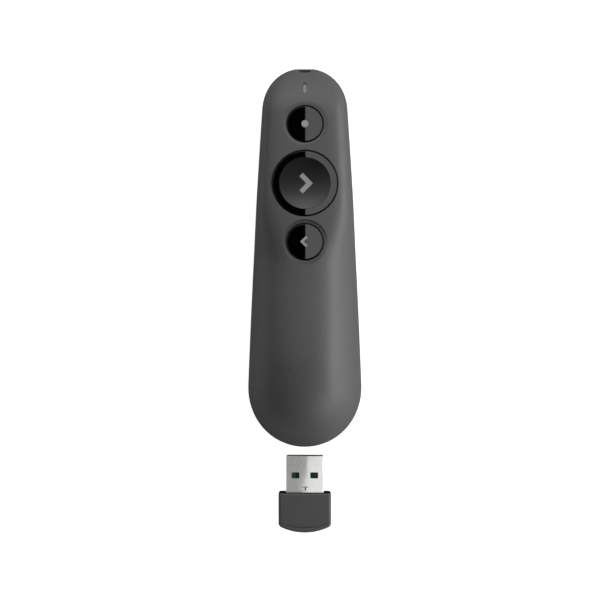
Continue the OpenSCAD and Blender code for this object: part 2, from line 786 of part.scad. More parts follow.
module aaa_battery() color([0.3, 0.5, 0.35]) {
    nub_r = 1.9;
    along_y(cell_back_y, cell_z) rotate_extrude() polygon([
        [0, 0], [cell_d / 2 - 0.4, 0], [cell_d / 2, 0.4],
        [cell_d / 2, cell_l - cell_nub_l - 0.4], [cell_d / 2 - 0.4, cell_l - cell_nub_l],
        [nub_r, cell_l - cell_nub_l], [nub_r, cell_l], [0, cell_l]]);
}

// A conical coil: rings of points swept along a helix that narrows towards the cell
module battery_spring() color([0.8, 0.8, 0.8]) {
    turns = 3.5;
    rings = 63;
    sides = 8;
    r = spring_wire_d / 2;
    wide = cell_d / 2 - 1.2;
    narrow = 2.2;
    rise = spring_l - 2 * r;
    points = [for (i = [0:rings]) let(t = i / rings, a = 360 * turns * t, c = mix(wide, narrow, t))
        for (k = [0:sides - 1]) let(b = 360 * k / sides, out = c + r * cos(b))
            [out * cos(a), out * sin(a), rise * t + r * sin(b)]];
    walls = [for (i = [0:rings - 1], k = [0:sides - 1])
        let(n = (k + 1) % sides, a = i * sides + k, b = i * sides + n)
        each [[a, a + sides, b], [b, a + sides, b + sides]]];
    ends = [for (k = [1:sides - 2]) each [[0, k, k + 1],
        [rings * sides, rings * sides + k + 1, rings * sides + k]]];
    along_y(spring_back_y + r, cell_z) polyhedron(points, concat(walls, ends), convexity = 10);
}

// A plate across the end of the bay, with its tail soldered to the board
module contact_plate(y) {
    half = cell_d / 2 + cell_fit - 1.1;
    box([-half, y, deck_plate_top_z], [half, y + contact_t, cell_roof_z]);
}

module negative_contact() color([0.85, 0.85, 0.8]) {
    strip_x = 2.4;
    strip_w = 2;
    y = spring_back_y - contact_t;
    contact_plate(y);
    box([strip_x, y, cell_roof_z - eps], [strip_x + strip_w, y + contact_t, board_z]);
    box([strip_x, y, contact_strip_z], [strip_x + strip_w, board_screw_back_y - 1, board_z]);
}

module positive_contact() color([0.85, 0.85, 0.8]) {
    tab_half = 1.5;
    contact_plate(cell_front_y);
    box([-tab_half, cell_front_y, cell_roof_z - eps],
        [tab_half, cell_front_y + contact_t, board_z]);
}

// A pan-head screw, head down at z = 0, pointing up
module screw(d, head_d, length) {
    top = screw_head_h + length;
    rotate_extrude() polygon([[0, 0], [head_d / 2 - 0.3, 0], [head_d / 2, 0.3],
        [head_d / 2, screw_head_h], [d / 2, screw_head_h], [d / 2, top - d / 4],
        [d / 4, top], [0, top]]);
}

module cross_slot(head_d) {
    for (a = [0, 90]) rotate(a)
        box([-head_d / 3, -head_d / 16, -1], [head_d / 3, head_d / 16, screw_head_h / 2]);
}

module housing_screws() color([0.6, 0.6, 0.62])
    housing_screw_places() translate([0, 0, door_top_z]) difference() {
        screw(housing_screw_d, housing_head_d,
            boss_foot_z + housing_screw_bite - door_top_z - screw_head_h);
        cross_slot(housing_head_d);
    }

module board_screws() color([0.6, 0.6, 0.62])
    board_screw_places() translate([0, 0, board_z - screw_head_h]) difference() {
        screw(board_screw_d, board_head_d, board_t + board_screw_bite);
        cross_slot(board_head_d);
    }

// The receiver is drawn in its dock, then pulled out to where it lies
module pulled_out() {
    translate([0, -dock_travel, 0]) children();
}

// Where the tail's surface stands at height z on the centre line
function tail_surface_y(z) = z >= seam_h
    ? tail_y + tail_drop_l
        - tail_drop_l * cap((z - seam_h) / (deck_z(tail_y) + hump_rise - seam_h), end_p)
    : tail_y + belly_round_l
        - belly_round_l * cap((seam_h - z) / (seam_h + belly_flat), nose_plan_p);

module receiver_plan() {
    half = receiver_w / 2;
    offset(r = receiver_corner_r, $fn = 48) offset(delta = -receiver_corner_r) intersection() {
        plan_shape();
        translate([-half, tail_y - 1]) square([receiver_w, receiver_l + 1]);
    }
}

// The receiver's whole housing as a solid, drawn in by inset
module receiver_body(inset = 0) {
    half = receiver_w / 2 - inset;
    reach = receiver_h / 2 - inset;
    r = receiver_edge_r;
    steps = 14;
    low = receiver_z - reach;
    intersection() {
        translate([0, inset, low]) linear_extrude(2 * reach) receiver_plan();
        // Long edges rounded
        union() {
            box([-half + r, tail_y, low], [half - r, shoulder_y - inset, low + 2 * reach]);
            box([-half, tail_y, low + r], [half, shoulder_y - inset, low + 2 * reach - r]);
            for (x = [-1, 1], z = [-1, 1])
                along_y(tail_y, receiver_z + z * (reach - r)) translate([x * (half - r), 0, 0])
                    cylinder(r = r, h = receiver_l - inset);
        }
        // The end follows the tail's own surface
        translate([-half, 0, 0]) rotate([90, 0, 90]) linear_extrude(2 * half) polygon(concat(
            [for (i = [0:steps]) let(z = low + 2 * reach * i / steps)
                [tail_surface_y(z) + inset, z]],
            [[shoulder_y, low + 2 * reach], [shoulder_y, low]]));
    }
}

module end_cap_zone() {
    difference() {
        box([-receiver_w, tail_y - 5, 0], [receiver_w, shoulder_y, high_z]);
        translate([0, end_cap_l, -1]) linear_extrude(high_z) plan_shape();
    }
}

module receiver_housing() color([0.2, 0.2, 0.21])
    pulled_out() difference() {
        receiver_body();
        end_cap_zone();
        // Hollow for the board, open at the end cap
        box([-receiver_w / 2 + receiver_wall, tail_y, receiver_z - receiver_h / 2 + receiver_wall],
            [receiver_w / 2 - receiver_wall, shoulder_y - receiver_wall,
                receiver_z + receiver_h / 2 - receiver_wall]);
        box([-plug_w / 2, shoulder_y - receiver_wall - 1, receiver_z - plug_h / 2],
            [plug_w / 2, shoulder_y + 1, receiver_z + plug_h / 2]);
    }

module receiver_end_cap() color([0.2, 0.2, 0.21])
    pulled_out() intersection() {
        receiver_body();
        end_cap_zone();
    }

// A bar with round edges, along Y
module rounded_bar(w, h, r, low_y, high_y) {
    z = receiver_z;
    box([-w / 2 + r, low_y, z - h / 2], [w / 2 - r, high_y, z + h / 2]);
    box([-w / 2, low_y, z - h / 2 + r], [w / 2, high_y, z + h / 2 - r]);
    for (x = [-1, 1], s = [-1, 1]) along_y(low_y, z + s * (h / 2 - r))
        translate([x * (w / 2 - r), 0, 0]) cylinder(r = r, h = high_y - low_y);
}

module usb_plug_shell() color([0.8, 0.8, 0.78])
    pulled_out() difference() {
        rounded_bar(plug_w, plug_h, plug_corner_r, shoulder_y - plug_root_l, mouth_y);
        rounded_bar(plug_w - 2 * plug_sheet, plug_h - 2 * plug_sheet, plug_corner_r - plug_sheet / 2,
            shoulder_y - plug_root_l - 1, mouth_y + 1);
        for (x = [-plug_window_x, plug_window_x])
            translate([x - plug_window_w / 2, mouth_y - plug_window_from_mouth - plug_window_l / 2, 0])
                cube([plug_window_w, plug_window_l, high_z]);
    }

module plug_insert() color([0.06, 0.06, 0.06])
    pulled_out() difference() {
        box([-plug_w / 2 + plug_sheet + 0.25, shoulder_y - plug_root_l,
                receiver_z - plug_h / 2 + plug_sheet],
            [plug_w / 2 - plug_sheet - 0.25, shoulder_y + 2.5, receiver_z + plug_h / 2 - plug_sheet]);
        box([-receiver_board_half_w, tail_y, receiver_board_top_z - receiver_board_t],
            [receiver_board_half_w, mouth_y, receiver_board_top_z]);
    }

module receiver_board() color([0.02, 0.25, 0.12])
    pulled_out() box(
        [-receiver_board_half_w, shoulder_y - 8.5, receiver_board_top_z - receiver_board_t],
        [receiver_board_half_w, mouth_y - 0.6, receiver_board_top_z]);

module receiver_contacts() color([0.9, 0.7, 0.3])
    pulled_out() for (x = [-3.5, -1, 1, 3.5])
        box([x - 0.5, mouth_y - 8.5, receiver_board_top_z - receiver_board_t - 0.1],
            [x + 0.5, mouth_y - 1.2, receiver_board_top_z - receiver_board_t]);

module receiver_chip() color([0.08, 0.08, 0.08])
    pulled_out() box(
        [-2.5, shoulder_y - 7.5, receiver_board_top_z - receiver_board_t - 0.9],
        [2.5, shoulder_y - 2.5, receiver_board_top_z - receiver_board_t]);

top_shell();
rear_shell();
battery_door();
battery_tray();
receiver_dock();
main_board();
radio_chip();
crystal();
laser_switch();
next_switch();
back_switch();
laser_plunger();
next_plunger();
back_plunger();
laser_button();
next_button();
back_button();
light_pipe();
status_led();
laser_barrel();
laser_lens();
laser_diode();
laser_bezel();
laser_window();
aaa_battery();
battery_spring();
negative_contact();
positive_contact();
housing_screws();
board_screws();
receiver_housing();
receiver_end_cap();
usb_plug_shell();
plug_insert();
receiver_board();
receiver_contacts();
receiver_chip();
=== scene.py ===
from math import cos, hypot, pi, radians, sin, sqrt, tan

import bmesh
import bpy
from mathutils import Matrix, Vector


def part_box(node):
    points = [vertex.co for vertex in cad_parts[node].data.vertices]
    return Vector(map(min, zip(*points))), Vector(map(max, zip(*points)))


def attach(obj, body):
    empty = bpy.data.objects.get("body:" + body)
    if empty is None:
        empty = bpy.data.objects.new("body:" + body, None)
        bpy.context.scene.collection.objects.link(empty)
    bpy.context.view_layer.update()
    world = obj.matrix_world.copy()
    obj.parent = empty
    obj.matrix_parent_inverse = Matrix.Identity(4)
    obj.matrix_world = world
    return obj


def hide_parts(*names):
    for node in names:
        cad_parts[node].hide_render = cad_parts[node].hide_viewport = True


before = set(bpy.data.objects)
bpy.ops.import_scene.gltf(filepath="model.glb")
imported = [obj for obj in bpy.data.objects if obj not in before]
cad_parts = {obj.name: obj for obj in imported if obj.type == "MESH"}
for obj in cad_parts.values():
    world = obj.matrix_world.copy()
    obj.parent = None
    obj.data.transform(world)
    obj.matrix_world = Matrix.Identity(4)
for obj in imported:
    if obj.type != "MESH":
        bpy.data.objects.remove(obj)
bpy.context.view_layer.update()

mm = 0.001  # shapes are drawn in millimetres and scaled to metres when they are done
print("frame loaded:", len(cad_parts), "nodes")

# The handset's outer form, the same rule as the solids follow
form = {
    "noseWidth": 27.4,
    "tailWidth": 36.5,
    "sideBow": 0.33,
    "noseRound": 13.7,
    "tailRound": 20.0,
    "deckHeight": 19.0,  # at the laser button
    "deckSlope": 2.8,  # degrees
    "humpRise": 1.6,
    "humpFromNose": 61.0,
    "humpRun": 34.0,
    "crownFromNose": 39.0,  # from here back the flat deck rounds into the palm
    "crownRun": 24.0,
    "seam": 6.6,
    "noseDrop": 16.0,
    "tailDrop": 31.0,
    "bellyRound": 8.0,
    "bellyFlat": 0.4,
    "wall": 1.6,
    "nosePlanPower": 2.22,
    "tailPlanPower": 2.0,
    "endPower": 2.1,
    "deckPower": 4.6,
    "palmPower": 2.15,
    "noseSectionPower": 3.0,
    "bellyPower": 3.4,
    "seamRadius": 0.22,  # the round on both rims, which shows as the seam's groove
    "hair": 0.05,  # the skin lies this far inside the solids' widest points
}


def centreOf(node):
    low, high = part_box(node)
    return (Vector(low) + Vector(high)) / 2 / mm


def lowOf(node):
    return Vector(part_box(node)[0]) / mm


def highOf(node):
    return Vector(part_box(node)[1]) / mm


noseY = highOf("top_shell").y
tailY = -noseY
laserY, nextY, backY = (centreOf(node).y for node in ("laser_button", "next_button", "back_button"))
seamZ = form["seam"]


def ease(t):
    t = max(0.0, min(1.0, t))
    return t * t * (3 - 2 * t)


def mix(a, b, t):
    return a + (b - a) * t


def cap(u, p):
    return 1.0 if u <= 0 else 0.0 if u >= 1 else (1 - u**p) ** (1 / p)


def endFade(y, noseLength, nosePower, tailLength, tailPower, inset):
    atNose = cap((y - noseY + noseLength) / (noseLength - inset), nosePower)
    atTail = cap((tailY + tailLength - y) / (tailLength - inset), tailPower)
    return atNose * atTail


def halfWidth(y, inset=0.0):
    start, stop = tailY + form["tailRound"], noseY - form["noseRound"]
    t = (y - start) / (stop - start)
    width = mix(form["tailWidth"], form["noseWidth"], t) / 2 + form["sideBow"] * (1 - (2 * t - 1) ** 2)
    return (width - inset) * endFade(
        y, form["noseRound"], form["nosePlanPower"], form["tailRound"], form["tailPlanPower"], inset
    )


def humpShare(y):
    return ease((noseY - form["humpFromNose"] - y) / form["humpRun"])


def deckZ(y):
    return form["deckHeight"] + (laserY - y) * tan(radians(form["deckSlope"]))


def topRise(y, inset=0.0):
    height = deckZ(y) + form["humpRise"] * humpShare(y) - seamZ - inset
    return height * endFade(
        y, form["noseDrop"], form["nosePlanPower"], form["tailDrop"], form["endPower"], inset
    )


def bellyDrop(y, inset=0.0):
    height = seamZ - inset if inset >= form["wall"] else seamZ + form["bellyFlat"] - inset
    length, power = form["bellyRound"], form["nosePlanPower"]
    return height * endFade(y, length, power, length, power, inset)


def topPower(y):
    rounding = ease((noseY - form["crownFromNose"] - y) / form["crownRun"])
    deck = mix(form["deckPower"], form["palmPower"], rounding)
    return mix(deck, form["noseSectionPower"], ease((y - noseY + form["noseDrop"]) / form["noseDrop"]))


def topZ(x, y):
    width = halfWidth(y)
    return seamZ if width <= 0 else seamZ + topRise(y) * cap(abs(x) / width, topPower(y))


def bellyZ(x, y):
    width = halfWidth(y)
    return seamZ if width <= 0 else seamZ - bellyDrop(y) * cap(abs(x) / width, form["bellyPower"])


def isInside(x, y, z):
    width = halfWidth(y)
    if width <= abs(x):
        return False
    return bellyZ(x, y) <= z <= topZ(x, y)


def skinY(x, z, inner, outer):
    # Where the skin crosses a line along Y, from a point inside to one outside
    for _ in range(26):
        middle = (inner + outer) / 2
        if isInside(x, middle, z):
            inner = middle
        else:
            outer = middle
    return inner


def meshObject(name, bm):
    mesh = bpy.data.meshes.new(name)
    bm.to_mesh(mesh)
    bm.free()
    obj = bpy.data.objects.new(name, mesh)
    bpy.context.scene.collection.objects.link(obj)
    return obj


def bake(obj):
    # Puts the modifiers' result into the mesh
    graph = bpy.context.evaluated_depsgraph_get()
    old = obj.data
    obj.data = bpy.data.meshes.new_from_object(obj.evaluated_get(graph))
    obj.modifiers.clear()
    bpy.data.meshes.remove(old)


def combine(obj, bm, operation="DIFFERENCE"):
    other = meshObject("other", bm)
    boolean = obj.modifiers.new("combine", "BOOLEAN")
    boolean.object = other
    boolean.operation = operation
    boolean.solver = "MANIFOLD"
    bake(obj)
    mesh = other.data
    bpy.data.objects.remove(other)
    bpy.data.meshes.remove(mesh)


def addMesh(bm, part):
    mesh = bpy.data.meshes.new("part")
    part.to_mesh(mesh)
    part.free()
    bm.from_mesh(mesh)
    bpy.data.meshes.remove(mesh)


def boxPart(low, high):
    part = bmesh.new()
    bmesh.ops.create_cube(part, size=1.0)
    low, high = Vector(low), Vector(high)
    bmesh.ops.scale(part, vec=high - low, verts=part.verts)
    bmesh.ops.translate(part, vec=(low + high) / 2, verts=part.verts)
    return part


def edgesAlong(bm, axis):
    # A box's edges along x, y or z, as 0, 1 or 2
    return [e for e in bm.edges if abs(e.verts[0].co[axis] - e.verts[1].co[axis]) > 0.1]


def roundEdges(bm, edges, radius, segments):
    bmesh.ops.bevel(
        bm, geom=edges, offset=radius, segments=segments, profile=0.5, affect="EDGES", material=-1
    )


def tidy(bm):
    bmesh.ops.remove_doubles(bm, verts=bm.verts, dist=1e-4)
    bmesh.ops.recalc_face_normals(bm, faces=bm.faces)


def placed(obj, body, materials, replaced=(), sharp=32):
    # Scales a finished shape to metres, shades it and hands it to the frame
    mesh = obj.data
    mesh.transform(Matrix.Scale(mm, 4))
    places = [face.material_index for face in mesh.polygons]
    mesh.materials.clear()
    for material in materials:
        mesh.materials.append(material)
    mesh.polygons.foreach_set("material_index", places)
    mesh.shade_smooth()
    mesh.set_sharp_from_angle(angle=radians(sharp))
    # Broad faces keep their own shading beside the rounded edges
    weighted = obj.modifiers.new("weightedNormals", "WEIGHTED_NORMAL")
    weighted.keep_sharp = True
    weighted.weight = 80
    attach(obj, body)
    if replaced:
        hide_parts(*replaced)
    return obj


def spun(bm, profile, steps, axis="Z"):
    # Turns a row of (radius, height) points round an axis through the origin
    verts = [bm.verts.new((r, 0, h)) for r, h in profile]
    edges = [bm.edges.new(pair) for pair in zip(verts, verts[1:])]
    bmesh.ops.spin(
        bm, geom=verts + edges, cent=(0, 0, 0), axis=(0, 0, 1), dvec=(0, 0, 0),
        angle=2 * pi, steps=steps, use_merge=True, use_duplicate=False,
    )
    tidy(bm)
    if axis == "Y":
        bmesh.ops.rotate(bm, verts=bm.verts, cent=(0, 0, 0), matrix=Matrix.Rotation(-pi / 2, 3, "X"))


def roundedBox(bm, low, high, radius, cuts, cornerShare):
    # A box with round edges; the corner's share of the cells goes into the rounds
    low, high = Vector(low), Vector(high)
    middle, half = (low + high) / 2, (high - low) / 2
    made = bmesh.ops.create_cube(bm, size=2.0)
    edges = list({e for v in made["verts"] for e in v.link_edges})
    bmesh.ops.subdivide_edges(bm, edges=edges, cuts=cuts, use_grid_fill=True)
    flat = 1 - cornerShare
    for v in bm.verts:
        spread = []
        for t, h in zip(v.co, half):
            size = abs(t)
            inner = h - radius
            reach = inner * size / flat if size < flat else inner + radius * (size - flat) / cornerShare
            spread.append(reach if t > 0 else -reach)
        p = Vector(spread)
        q = Vector([max(-(h - radius), min(h - radius, c)) for c, h in zip(p, half)])
        out = p - q
        if out.length > 1e-9:
            p = q + out.normalized() * radius
        v.co = p + middle


rimHeights = (0.0, 0.05, 0.12, 0.22)  # the rows that make the seam's round


def skinPoint(isTop, inset, station, column, columns):
    # One point of a skin: stations run from tail to nose, columns from rim to rim
    side = -1 if column > columns / 2 else 1
    fromRim = min(column, columns - column)
    count = len(rimHeights)
    up = 1 if isTop else -1
    if fromRim < count:
        height = rimHeights[fromRim]
        radius = form["seamRadius"]
        back = radius - sqrt(max(0, radius**2 - (radius - height) ** 2))
        inset += back
        y = (noseY - inset) * sin(pi * (station - 0.5))
        rise = topRise(y, inset) if isTop else bellyDrop(y, inset)
        height = min(height, rise * 0.2)
        return side * halfWidth(y, inset), y, seamZ + up * height
    y = (noseY - inset) * sin(pi * (station - 0.5))
    a = pi * (column - count + 1) / (columns - 2 * count + 2)
    power = topPower(y) if isTop else form["bellyPower"]
    rise = topRise(y, inset) if isTop else bellyDrop(y, inset)
    reach = (abs(cos(a)) ** power + abs(sin(a)) ** power) ** (-1 / power)
    z = seamZ + up * rise * reach * abs(sin(a))
    return halfWidth(y, inset) * reach * cos(a), y, z if isTop else max(z, 0.0)


def addSkin(bm, isTop, inset, along, around):
    known = set(bm.verts)
    bmesh.ops.create_grid(bm, x_segments=around, y_segments=along, size=0.5)
    fresh = [v for v in bm.verts if v not in known]
    for v in fresh:
        column = round((v.co.x + 0.5) * around)
        v.co = skinPoint(isTop, inset, v.co.y + 0.5, column, around)
    bmesh.ops.remove_doubles(bm, verts=fresh, dist=1e-4)


def shellHalf(isTop, name):
    bm = bmesh.new()
    for inset in (form["hair"], form["wall"]):
        addSkin(bm, isTop, inset, along=210, around=100)
    for side in (-1, 1):  # each side's outer rim to its inner rim
        rims = [e for e in bm.edges if e.is_boundary and side * sum(v.co.x for v in e.verts) > 0]
        bmesh.ops.bridge_loops(bm, edges=rims)
    tidy(bm)
    return meshObject(name, bm)


buttons = {
    "smallHole": 5.92,
    "nextHole": 10.49,
    "recessRadius": 7.0,
    "recessFall": 0.02,  # from its edge to the hole
    "recessLip": 0.1,
    "edgeRound": 0.06,
    "smallRadius": 5.45,
    "nextRadius": 10.02,
    "smallRoof": 1.3,
    "nextRoof": 1.7,
    "dishRadius": 8.05,
    "dishDepth": 0.8,
    "capRound": 0.08,
    "skirtWall": 1.1,
    "postRadius": 1.45,
    "flangeDrop": 1.95,  # from the deck to the flange
    "flangeThickness": 0.8,
}
deepZ = 14.0  # under every button
clearOfSkin = 3.0


def buttonHole(bm, centreY, hole, hasRecess):
    # A round cutter whose rim follows the curved skin. A recess's floor is level with the deck.
    # Its heights are from the skin, and it reaches 2.5 above it.
    r = buttons["edgeRound"]
    outer = buttons["recessRadius"]
    edge = buttons["recessLip"] + topZ(0, centreY) - topZ(outer, centreY)
    floor = edge + buttons["recessFall"]
    if hasRecess:
        sides = [
            (hole, -floor - r), (hole + 0.3 * r, -floor - 0.3 * r), (hole + r, -floor), (outer, -edge),
            (outer, -0.04), (outer + 0.04, 0.01),
        ]
    else:
        sides = [(hole, -r), (hole + 0.3 * r, -0.3 * r), (hole + r, 0.01)]
    part = bmesh.new()
    spun(part, [(0, -10), (hole, -10)] + sides + [(sides[-1][0], 2.5), (0, 2.5)], steps=160)
    onRecess = -0.05 if hasRecess else -1.0  # lower points lie on the level floor
    for v in part.verts:
        v.co.y += centreY
        if v.co.z < -clearOfSkin:
            v.co.z = deepZ  # the cutter's flat underside
        elif v.co.z < onRecess:
            v.co.z += deckZ(v.co.y) - form["hair"]
        else:
            v.co.z += topZ(v.co.x, v.co.y) - form["hair"]
    addMesh(bm, part)


lightSlot = {
    "length": 3.42,
    "width": 1.05,
    "bare": 0.6,  # the guide ends this far short of the slot's nose end
    "aft": 0.18,  # from the light pipe's middle
    "gap": 0.04,
    "sinkTail": 0.04,
    "sinkNose": 0.2,
}
lightY = centreOf("light_pipe").y - lightSlot["aft"]
aboveAll = 25.0


def slotShape(bm, gap, bare, lowZ):
    # A tall block whose upright edges are rounded into a slot's ends
    halfX, halfY = lightSlot["width"] / 2 - gap, lightSlot["length"] / 2 - gap
    part = boxPart((-halfX, lightY - halfY, lowZ), (halfX, lightY + halfY - bare, aboveAll))
    roundEdges(part, edgesAlong(part, 2), halfX * 0.98, 8)
    addMesh(bm, part)


laserTrim = {
    "holeRadius": 3.05,
    "holeRound": 0.15,
    "holeDepth": 8.0,
    "ringInner": 2.1,
    "ringRound": 0.14,
    "ringSink": 0.3,
    "windowSink": 1.2,
}
laserZ = centreOf("laser_bezel").z


def noseSkinY(v):
    # From well inside the nose to just outside it
    return skinY(v.co.x, v.co.z, noseY - 14, noseY + 1)


def noseHole(bm):
    # Drawn round the Y axis, then moved to the laser's axis with y = 0 on the nose's skin
    r, radius, depth = laserTrim["holeRound"], laserTrim["holeRadius"], laserTrim["holeDepth"]
    part = bmesh.new()
    profile = [
        (0, -depth), (radius, -depth), (radius, -r), (radius + 0.3 * r, -0.3 * r), (radius + r, 0.01),
        (radius + r, 3), (0, 3),
    ]
    spun(part, profile, steps=96, axis="Y")
    for v in part.verts:
        v.co.z += laserZ
        v.co.y += noseSkinY(v) - form["hair"]
    addMesh(bm, part)


dock = {"halfWidth": 8.7, "lowZ": 1.6, "highZ": 8.8, "clearance": 0.1}


def cutDock(shell):
    # The receiver's way in through the tail, and the room for its dock
    space = Vector((1, 1, 1)) * dock["clearance"]
    low, high = lowOf("receiver_dock") - space, highOf("receiver_dock") + space
    half = dock["halfWidth"]
    combine(shell, boxPart((-half, tailY - 3, dock["lowZ"]), (half, low.y + 2, dock["highZ"])))
    combine(shell, boxPart(low, high))


def topShell(material, dark):
    shell = shellHalf(True, "topShell")
    cutter = bmesh.new()
    buttonHole(cutter, laserY, buttons["smallHole"], True)
    buttonHole(cutter, nextY, buttons["nextHole"], False)
    buttonHole(cutter, backY, buttons["smallHole"], True)
    slotShape(cutter, 0.0, 0.0, deepZ + 2)
    noseHole(cutter)
    combine(shell, cutter)
    cutDock(shell)
    # Painted shade: the light slot's upright walls take the black without sheen, standing in for the
    # shadow inside the slot
    reachX, reachY = lightSlot["width"] * 0.52, lightSlot["length"] * 0.52
    for face in shell.data.polygons:
        spot = face.center
        if abs(spot.x) < reachX and abs(spot.y - lightY) < reachY and abs(face.normal.z) < 0.5:
            face.material_index = 1  # the slot's walls
    return placed(shell, "handset", [material, dark], ["top_shell"])


door = {
    "halfWidth": 10.0,
    "thickness": 1.4,
    "gap": 0.2,
    "tongue": 0.8,
    "tongueThickness": 0.6,
    "lipTop": 2.1,
    "lipHalfWidth": 8.45,
    "edgeRound": 0.16,
    "frameWall": 1.6,  # the shell is thicker round the door
    "frameLow": 0.85,
    "frameFromTail": 9.0,
    "frameAhead": 1.4,
    "cellRoom": 1.15,  # beside the cell, for its play and the tray's wall
    "grooves": 4,
    "grooveSpacing": 1.6,
    "grooveFromFront": 9.0,
}
doorFrontY = highOf("battery_door").y
lipY = lowOf("receiver_dock").y - door["gap"]


def rearShell(material):
    shell = shellHalf(False, "rearShell")
    gap, tongue = door["gap"], door["tongue"]
    top = door["thickness"] + gap
    half, front = door["halfWidth"] + gap, doorFrontY + gap
    ledge = door["thickness"] - door["tongueThickness"] - gap
    wide = door["halfWidth"] + tongue + door["frameWall"]
    plateLow = (-wide, tailY + door["frameFromTail"], door["frameLow"])
    plateHigh = (wide, doorFrontY + door["frameAhead"], top + door["frameWall"])
    combine(shell, boxPart(plateLow, plateHigh), "UNION")
    combine(shell, boxPart((-half, tailY - 2, -2), (half, front, top)))
    combine(shell, boxPart((-half - tongue, tailY - 2, ledge), (half + tongue, front, top)))
    cutDock(shell)
    bay = highOf("aaa_battery").x + door["cellRoom"]
    combine(shell, boxPart((-bay, lowOf("battery_tray").y - 0.1, -1), (bay, doorFrontY - 0.5, 8)))
    return placed(shell, "handset", [material], ["rear_shell"])


def doorRearY(x, z):
    # Where the belly's skin reaches height z at the tail
    low, high = tailY, tailY + 12
    for _ in range(26):
        middle = (low + high) / 2
        if bellyZ(x, middle) > z:
            low = middle
        else:
            high = middle
    return high


def batteryDoor(material):
    # A sheet that follows the belly, given its thickness upwards
    bm = bmesh.new()
    half, lip, thickness = door["halfWidth"], door["lipHalfWidth"], door["thickness"]
    sideColumns, midColumns = 4, 34
    columns = midColumns + 2 * sideColumns
    lipRows, rows = 10, 150
    step = 0.04
    bmesh.ops.create_grid(bm, x_segments=columns, y_segments=rows, size=0.5)
    upper = {}
    for v in bm.verts:
        column = round((v.co.x + 0.5) * columns)
        row = round((v.co.y + 0.5) * rows)
        fromSide = min(column, columns - column)
        isLip = fromSide >= sideColumns
        if isLip:
            x = mix(lip - step, 0, (fromSide - sideColumns) / (columns / 2 - sideColumns))
        else:
            x = mix(half, lip, fromSide / (sideColumns - 1))
        rear = doorRearY(x, door["lipTop"] if isLip else thickness)
        lipFront = max(lipY, rear + 0.2)
        if row < lipRows:
            y = mix(rear, lipFront, row / (lipRows - 1))
        else:
            y = mix(lipFront + step, doorFrontY, (row - lipRows) / (rows - lipRows))
        side = 1 if column > columns / 2 else -1
        v.co = side * x, y, max(bellyZ(x, y), 0.0)
        place = round(v.co.x, 4), round(v.co.y, 4)
        upper[place] = door["lipTop"] if isLip and row < lipRows else thickness
    outline = [e for e in bm.edges if e.is_boundary and max(v.co.y for v in e.verts) > lipY]
    made = bmesh.ops.extrude_face_region(bm, geom=bm.faces[:], use_keep_orig=True)
    for v in made["geom"]:
        if isinstance(v, bmesh.types.BMVert):
            v.co.z = upper[round(v.co.x, 4), round(v.co.y, 4)]
    roundEdges(bm, [e for e in outline if e.is_valid], door["edgeRound"], 3)
    tidy(bm)
    sheet = meshObject("batteryDoor", bm)
    reach = half + door["tongue"]
    tongueLow = (-reach, tailY + form["tailRound"] / 2, thickness - door["tongueThickness"])
    combine(sheet, boxPart(tongueLow, (reach, doorFrontY, thickness - 0.001)), "UNION")
    grip = bmesh.new()
    for i in range(door["grooves"]):
        y = doorFrontY - door["grooveFromFront"] + door["grooveSpacing"] * i
        part = bmesh.new()
        bmesh.ops.create_cone(
            part, cap_ends=True, segments=64, radius1=1.0, radius2=1.0, depth=half,
            matrix=Matrix.Translation((0, y, -0.7)) @ Matrix.Rotation(pi / 2, 4, "Y"),
        )
        roundEdges(part, [e for e in part.edges if abs(e.verts[0].co.x - e.verts[1].co.x) < 0.01], 0.5, 5)
        addMesh(grip, part)
    combine(sheet, grip)
    return placed(sheet, "battery_door", [material], ["battery_door"])


def dishLevel(distance):
    # The dish against the deck, at a distance from its middle
    edge, deep = buttons["dishRadius"], buttons["dishDepth"]
    ball = (edge**2 + deep**2) / (2 * deep)
    return ball - deep - sqrt(ball**2 - distance**2)


def buttonCap(name, node, hasDish, materials):
    # Turned from the roof's middle over its edge, down the skirt to the flange and up to the post
    centre = centreOf(node)
    radius = buttons["nextRadius" if hasDish else "smallRadius"]
    r, post = buttons["capRound"], buttons["postRadius"]
    inner = radius - buttons["skirtWall"]
    flange = (highOf(node).x - lowOf(node).x) / 2
    flangeTop = deckZ(centre.y) - buttons["flangeDrop"]
    flangeLow = flangeTop - buttons["flangeThickness"]
    under = deckZ(centre.y) - buttons["nextRoof" if hasDish else "smallRoof"]
    plungerTop = highOf(node.replace("button", "plunger")).z
    top = [(0, 0)]
    edge, rows = buttons["dishRadius"], 24
    if hasDish:
        top = [(edge * i / rows, dishLevel(edge * i / rows)) for i in range(rows)]
        top += [(edge - 0.04, -0.012), (edge + 0.05, 0)]
    top += [(radius - r + r * sin(pi / 8 * i), r * cos(pi / 8 * i) - r) for i in range(5)]
    sides = [
        (radius, flangeTop), (flange, flangeTop), (flange, flangeLow), (inner, flangeLow),
        (inner, under), (post, under), (post, plungerTop), (0, plungerTop),
    ]
    bm = bmesh.new()
    spun(bm, top + sides, steps=160)
    for v in bm.verts:
        v.co.y += centre.y
        if v.co.z < 5:  # the roof, drawn round z = 0
            v.co.z += deckZ(v.co.y) - form["hair"]
    bmesh.ops.recalc_face_normals(bm, faces=bm.faces)
    deckTilt = cos(radians(form["deckSlope"]))
    for f in bm.faces:
        middle = f.calc_center_median()
        isWall = middle.z < deckZ(middle.y) - 0.3 and f.normal.z < 0.99 * deckTilt
        if isWall or middle.z < flangeTop + 0.2:
            f.material_index = 1  # the moulded skirt and flange aren't polished
        if hasDish and hypot(middle.x, middle.y - centre.y) < edge and middle.z > under + 0.5:
            f.material_index = 2
    return placed(meshObject(name, bm), node, materials, [node], sharp=40)


